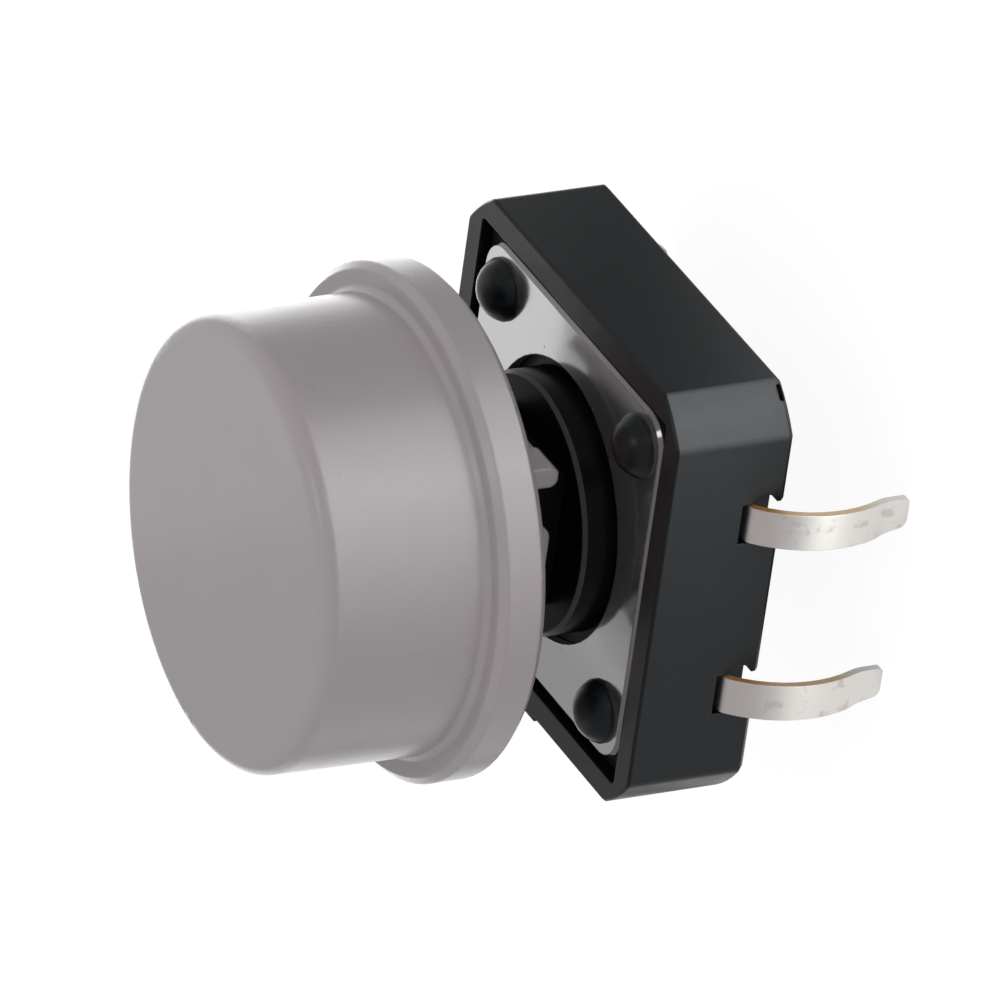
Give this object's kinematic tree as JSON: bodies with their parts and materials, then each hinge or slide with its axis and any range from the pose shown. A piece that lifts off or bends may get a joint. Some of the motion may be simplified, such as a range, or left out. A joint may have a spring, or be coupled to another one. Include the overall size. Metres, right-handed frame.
{
  "type": "tactile push button switch",
  "caption": "Square through-hole tactile switch with a shiny cover plate, staked posts, bowed leads and a round flanged cap that springs back.",
  "frame": {"origin": "centre of the housing's underside, on the circuit board plane", "axes": "+Z along the button's travel axis towards the cap; the leads leave the +X and -X sides"},
  "size_m": [0.0138, 0.0132, 0.0156],
  "materials": {
    "housing": "moulded black plastic with a soft satin sheen",
    "cover": "smooth plated sheet metal, close to a mirror",
    "contact": "tin-plated brass strip with bare cut edges",
    "dome": "bright rolled stainless spring steel",
    "plunger": "moulded black plastic, satin",
    "cap": "moulded grey plastic, fine satin"
  },
  "bodies": {
    "housing": {"base": "housing", "cover_plate": "cover", "outer_contact": "contact", "center_contact": "contact", "snap_dome": "dome"},
    "button": {"plunger": "plunger", "cap": "cap"}
  },
  "joints": [
    {"name": "press", "type": "slide", "parent": "housing", "child": "button", "axis": [0, 0, -1], "range_m": [0, 0.0003], "stiffness_N_per_m": 4000, "springref_m": -0.00005, "deforming": ["snap_dome"]}
  ]
}
